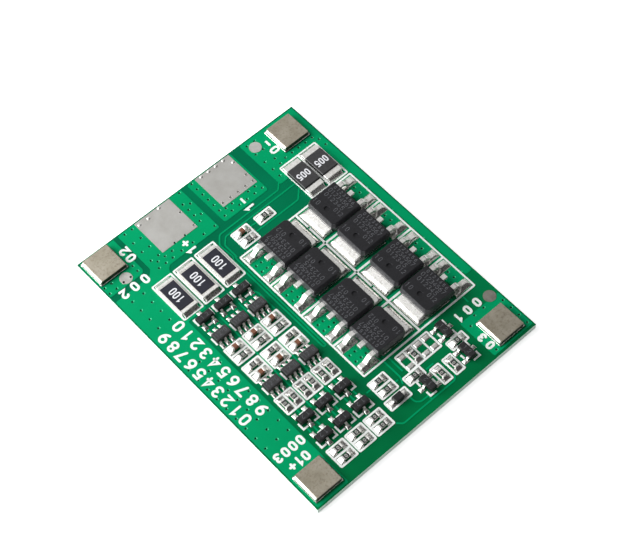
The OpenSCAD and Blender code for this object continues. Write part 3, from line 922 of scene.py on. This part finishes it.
def solder_joints():
    """Each land with its solder, a film that thins to the land's edge and climbs the metal."""
    small = Part("solder_on_small_lands", "solder", "component_lands")
    large = Part("solder_on_large_lands", "solder")
    for low, high in shells("component_lands"):
        if high.y - low.y > LONG_LAND:
            low = Vector((low.x, low.y + LONG_LAND_GAP, low.z))
        area = (high.x - low.x) * (high.y - low.y)
        mesh = solder_film(low, high, area)
        (small if area < 3 else large).add(mesh, SOLDER, TO_METRES, smooth=True)
    small.done()
    large.done()


def solder_film(low, high, area):
    """The solder on one land: a closed sheet whose upper skin follows solder_height."""
    wide, long = high.x - low.x, high.y - low.y
    cell = 0.12 if area < 2 else 0.14 if area < 8 else 0.22
    mesh = bmesh.new()
    bmesh.ops.create_grid(mesh, x_segments=max(4, round(wide / cell)),
                          y_segments=max(4, round(long / cell)), size=0.5)
    bmesh.ops.scale(mesh, vec=(wide, long, 1), verts=mesh.verts)
    bmesh.ops.translate(mesh, vec=(*middle((low, high)), BOARD_TOP), verts=mesh.verts)
    under = mesh.faces[:]
    made = bmesh.ops.extrude_face_region(mesh, geom=under)["geom"]
    near = [c for c in CONTACTS if c[0] < high.x and c[2] > low.x
            and c[1] < high.y and c[3] > low.y]
    for vert in (g for g in made if isinstance(g, bmesh.types.BMVert)):
        vert.co.z = solder_height(vert.co, low, high, near)
    bmesh.ops.dissolve_faces(mesh, faces=under, use_verts=True)
    bmesh.ops.recalc_face_normals(mesh, faces=mesh.faces)
    return mesh


def solder_height(spot, low, high, near):
    """How high the solder stands at a spot, with the metal near it as CONTACTS has it."""
    inset = min(spot.x - low.x, high.x - spot.x, spot.y - low.y, high.y - spot.y)
    edge = min(1.0, max(0.0, inset / THINNING))
    film = (LAND_TOP - BOARD_TOP) * (0.35 + 0.65 * math.sqrt(edge * (2 - edge)))
    climb = 0.0
    for x0, y0, x1, y1, tall in near:
        out = math.hypot(max(x0 - spot.x, 0, spot.x - x1), max(y0 - spot.y, 0, spot.y - y1))
        reach = 0.1 + 0.42 * min(tall, 0.6)
        climb = max(climb, 0.82 * tall * math.exp(-(out / reach)))
    return BOARD_TOP + film + climb * min(1, edge * 1.4)


# ---- plated holes ----

# (radius, height) round the top of a plated hole
LIP = [(0.34, -0.012), (0.27, 0.012)]
COLLAR = [(0.27, 0.012), (0.17, -0.03)]
BOWL = [(0.17, -0.03), (0.13, -0.17), (0.001, -0.24)]
BARE_COLLAR = [(0.27, 0.012), (0.21, -0.02)]
BARE_BOWL = [(0.21, -0.02), (0.17, -0.2), (0.001, -0.28)]
SOLDER_BUMP = [(0.34, -0.012), (0.22, 0.04), (0.001, 0.07)]
FILLED_FROM = 26  # the pads' holes from this Y on are filled with solder


def hole_places():
    """The top of each plated hole, once, with the highest node that it goes through."""
    spots = {}
    for node in ("circuit_board", "copper_layer", "output_pads", "tap_pads"):
        for spot in bores(node):
            key = round(spot.x, 1), round(spot.y, 1)
            kept = spots.get(key)
            if kept is None or spot.z > kept[0].z:
                spots[key] = spot, node
    return spots.values()


def closed_holes():
    """Skins that close every plated hole: sunk mask above and below, and on the pads bare metal or
    a bump of solder above. The bowls of masked holes and of the tap pads' holes are coloured dark,
    as painted shade."""
    masked = Part("masked_holes", "masked_copper")
    tinned = Part("tinned_holes", "tinned_pad")
    for spot, node in hole_places():
        bare = node in ("output_pads", "tap_pads")
        above, below = at(*spot), at(spot.x, spot.y, 0) @ Matrix.Rotation(math.pi, 4, "X")
        if bare and spot.y > FILLED_FROM:
            tinned.add(spun(SOLDER_BUMP), SOLDER, above, smooth=True)
        elif bare:
            # on the tap pads the bowl is coloured dark, as painted shade
            pad, depth = (TAP_TIN, METAL_BOWL_PAINTED_SHADE) if node == "tap_pads" else (TIN, TIN)
            for profile, finish in ((LIP, pad), (BARE_COLLAR, pad), (BARE_BOWL, depth)):
                tinned.add(spun(profile), finish, above, smooth=True)
        for side in (below,) if bare else (above, below):
            # the bowl of a masked hole is coloured dark green, as painted shade
            for profile, finish in ((LIP, COPPER), (COLLAR, RIM), (BOWL, MASK_BOWL_PAINTED_SHADE)):
                masked.add(spun(profile), finish, side, smooth=True)
    masked.done()
    tinned.done()


def spun(profile):
    """An open skin spun from (radius, height) points, facing up."""
    mesh = bmesh.new()
    verts = [mesh.verts.new((r, 0, z)) for r, z in profile]
    edges = [mesh.edges.new(pair) for pair in zip(verts, verts[1:])]
    bmesh.ops.spin(mesh, geom=verts + edges, cent=(0, 0, 0), axis=(0, 0, 1), dvec=(0, 0, 0),
                   angle=math.tau, steps=10, use_merge=True)
    bmesh.ops.remove_doubles(mesh, verts=mesh.verts, dist=0.004)
    bmesh.ops.recalc_face_normals(mesh, faces=mesh.faces)
    if sum(f.normal.z for f in mesh.faces) < 0:
        bmesh.ops.reverse_faces(mesh, faces=mesh.faces)
    return mesh


# ---- printed numbers ----

# text, turn, and the box it fills: u0, v0, u1, v1, across and down from the board's far left corner
LABELS = (
    ("02", 90, (6.1, 2.5, 7.9, 5.4)), ("1+", 90, (14.1, 7.9, 15.9, 10.7)),
    ("1-", 90, (26, 8.0, 27.8, 10.9)), ("0-", 90, (36.3, 2.3, 38.1, 5.3)),
    ("03", 90, (36.5, 51.5, 38.1, 54.4)), ("002", 180, (1.5, 8.3, 6.9, 10.1)),
    ("01+", 180, (1.3, 47.6, 5.1, 49.3)), ("0003", 180, (0.6, 45.2, 6.2, 46.9)),
    ("001", 180, (36.5, 46.3, 41.7, 48)), ("0123456789", 90, (0.7, 18.6, 2.8, 38.8)),
    ("9876543210", 90, (3.6, 18.5, 5.7, 39.2)),
)
LABEL_WEIGHT = 0.4


def printed_numbers():
    """Plain numbers and signs beside the terminals, and two rows of figures along the bus."""
    part = Part("printed_numbers", "ink")
    half_w, half_l = (node_box("circuit_board")[1].x, node_box("circuit_board")[1].y)
    for text, turn, (u0, v0, u1, v1) in LABELS:
        x0, x1, y0, y1 = u0 - half_w, u1 - half_w, half_l - v1, half_l - v0
        if turn == 90:
            corner = x1 - LABEL_WEIGHT / 2, y0 + LABEL_WEIGHT / 2
            tall, long = x1 - x0, y1 - y0
        else:
            corner = x1 - LABEL_WEIGHT / 2, y1 - LABEL_WEIGHT / 2
            tall, long = y1 - y0, x1 - x0
        write(part, INK, text, corner, turn, tall - LABEL_WEIGHT, long - LABEL_WEIGHT, LABEL_WEIGHT,
              BOARD_TOP, INK_TOP)
    ink_over_holes(part)
    return part.done()


def ink_over_holes(part):
    """Where a hole bites the far side of the transistors' frame, the ink runs on over its edge."""
    low, high = max(shells("legend"), key=lambda box: (box[1] - box[0]).length)
    for spot in bores("circuit_board"):
        if abs(spot.x - high.x) < INK_LINE and low.y < spot.y < high.y:
            patch = block((high.x - INK_LINE, spot.y - INK_LINE, BOARD_TOP),
                          (high.x, spot.y + INK_LINE, INK_TOP - 0.002))
            part.add(patch, INK, TO_METRES)


# ---- dressing ----

def dress(node, finish):
    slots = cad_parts[node].data.materials
    slots.clear()
    slots.append(finish.material)


def dress_board():
    for node, finish in (("circuit_board", MASK), ("copper_layer", COPPER), ("legend", INK),
                         ("output_pads", TIN), ("tap_pads", TAP_TIN)):
        dress(node, finish)


def fit_parts():
    for i in range(1, 5):
        weld_tab(f"battery_tab_{i}")
    for i in range(1, 9):
        power_transistor(f"power_transistor_{i}", 0 if i <= 4 else 180)
    for i in (1, 2):
        shunt(f"shunt_{i}")
    for i in (1, 2, 3):
        balance_resistor(f"balance_resistor_{i}")
        three_lead(f"balance_switch_{i}", 0)
        six_lead(f"balance_chip_{i}")
        six_lead(f"guard_chip_{i}")
        three_lead(f"upper_transistor_{i}", 180)
        three_lead(f"lower_transistor_{i}", 180)
        three_lead(f"control_transistor_{i}", (-90, 90, -90)[i - 1])
        chip_capacitor(f"balance_capacitor_{i}")
        chip_capacitor(f"guard_capacitor_{i}")
        chip_resistors(f"gate_resistors_{i}")
        chip_resistors(f"pulldown_resistors_{i}")
    diode("diode")
    chip_capacitor("delay_capacitor")
    for node in ("balance_feed_resistors", "guard_feed_resistors", "sense_resistors",
                 "release_resistors", "control_resistors"):
        chip_resistors(node)


# ---- floor, light and camera ----

def seen_directly(nodes, links):
    """1 for rays from the camera and for those that gloss and glass send on, else 0."""
    path = nodes.new("ShaderNodeLightPath")
    seen = path.outputs["Is Camera Ray"]
    for ray in ("Is Glossy Ray", "Is Transmission Ray"):
        most = nodes.new("ShaderNodeMath")
        most.operation = "MAXIMUM"
        links.new(seen, most.inputs[0])
        links.new(path.outputs[ray], most.inputs[1])
        seen = most.outputs["Value"]
    return seen


def pale_floor(glow):
    mesh = bmesh.new()
    bmesh.ops.create_grid(mesh, x_segments=1, y_segments=1, size=1.5)
    data = bpy.data.meshes.new("floor")
    mesh.to_mesh(data)
    mesh.free()
    floor = bpy.data.objects.new("floor", data)
    floor.location.z = -0.0002
    bpy.context.scene.collection.objects.link(floor)
    white = bpy.data.materials.new("pale_floor")
    white.use_nodes = True
    nodes, links = white.node_tree.nodes, white.node_tree.links
    nodes.clear()
    out = nodes.new("ShaderNodeOutputMaterial")
    lit = nodes.new("ShaderNodeBsdfDiffuse")
    lit.inputs["Color"].default_value = (0.85, 0.85, 0.85, 1)
    shine = nodes.new("ShaderNodeEmission")
    share = nodes.new("ShaderNodeMath")
    share.operation = "MULTIPLY"
    share.inputs[1].default_value = glow
    links.new(seen_directly(nodes, links), share.inputs[0])
    links.new(share.outputs["Value"], shine.inputs["Strength"])
    both = nodes.new("ShaderNodeAddShader")
    links.new(lit.outputs["BSDF"], both.inputs[0])
    links.new(shine.outputs["Emission"], both.inputs[1])
    links.new(both.outputs["Shader"], out.inputs["Surface"])
    data.materials.append(white)


def world_light(level, dark, light):
    """A plain level all round; gloss sees white at the horizon and, above it, dark to light."""
    world = bpy.data.worlds.new("studio")
    bpy.context.scene.world = world
    world.use_nodes = True
    nodes, links = world.node_tree.nodes, world.node_tree.links
    place = nodes.new("ShaderNodeTexCoord")
    across = nodes.new("ShaderNodeVectorMath")
    across.operation = "DOT_PRODUCT"
    across.inputs[1].default_value = (-0.45, 0.9, 0)
    links.new(place.outputs["Generated"], across.inputs[0])
    high = nodes.new("ShaderNodeMapRange")
    for socket, number in zip(("From Min", "From Max", "To Min", "To Max"),
                              (-0.1, 0.3, dark, light)):
        high.inputs[socket].default_value = number
    links.new(across.outputs["Value"], high.inputs["Value"])
    split = nodes.new("ShaderNodeSeparateXYZ")
    links.new(place.outputs["Generated"], split.inputs["Vector"])
    sky = nodes.new("ShaderNodeMapRange")
    for socket, number in zip(("From Min", "From Max", "To Min"), (0.1, 0.25, 1.0)):
        sky.inputs[socket].default_value = number
    links.new(split.outputs["Z"], sky.inputs["Value"])
    links.new(high.outputs["Result"], sky.inputs["To Max"])
    mix = nodes.new("ShaderNodeMix")
    mix.inputs[2].default_value = level
    links.new(seen_directly(nodes, links), mix.inputs["Factor"])
    links.new(sky.outputs["Result"], mix.inputs[3])
    links.new(mix.outputs[0], nodes["Background"].inputs["Strength"])
    nodes["Background"].inputs["Color"].default_value = (1, 1, 1, 1)


def softbox(name, azimuth, elevation, distance, size, power):
    """A square area lamp aimed at the board; azimuth runs from +X towards +Y."""
    lamp = bpy.data.lights.new(name, "AREA")
    lamp.shape, lamp.size, lamp.energy = "SQUARE", size, power
    thing = bpy.data.objects.new(name, lamp)
    a, e = math.radians(azimuth), math.radians(elevation)
    way = Vector((math.cos(a) * math.cos(e), math.sin(a) * math.cos(e), math.sin(e)))
    thing.location = way * distance
    thing.rotation_euler = way.to_track_quat("Z", "Y").to_euler()
    bpy.context.scene.collection.objects.link(thing)


CAMERA = {"azimuth": -40.955, "elevation": 59.417, "roll": -1.575, "distance": 0.264316,
          "aim": (0.004116, 0.000433, 0.0012), "lens": 95.26}


def camera():
    a, e, r = (math.radians(CAMERA[k]) for k in ("azimuth", "elevation", "roll"))
    back = Vector((math.sin(a) * math.cos(e), -math.cos(a) * math.cos(e), math.sin(e)))
    right = Vector((0, 0, 1)).cross(back).normalized()
    up = back.cross(right)
    right, up = (right * math.cos(r) + up * math.sin(r), up * math.cos(r) - right * math.sin(r))
    data = bpy.data.cameras.new("camera")
    data.lens, data.sensor_width = CAMERA["lens"], 36
    data.clip_start, data.clip_end = 0.01, 10
    thing = bpy.data.objects.new("camera", data)
    spot = Vector(CAMERA["aim"]) + back * CAMERA["distance"]
    turn = Matrix((right, up, back)).transposed().to_4x4()
    thing.matrix_world = Matrix.Translation(spot) @ turn
    bpy.context.scene.collection.objects.link(thing)
    bpy.context.scene.camera = thing


camera()
dress_board()
fit_parts()
solder_joints()
closed_holes()
printed_numbers()
pale_floor(0.7)
world_light(0.2, 0.04, 1.0)
softbox("key", 136, 38, 0.3, 0.3, 1.3)
softbox("side", 157, 17, 0.3, 0.3, 0.5)
bpy.context.scene.view_settings.view_transform = "Standard"
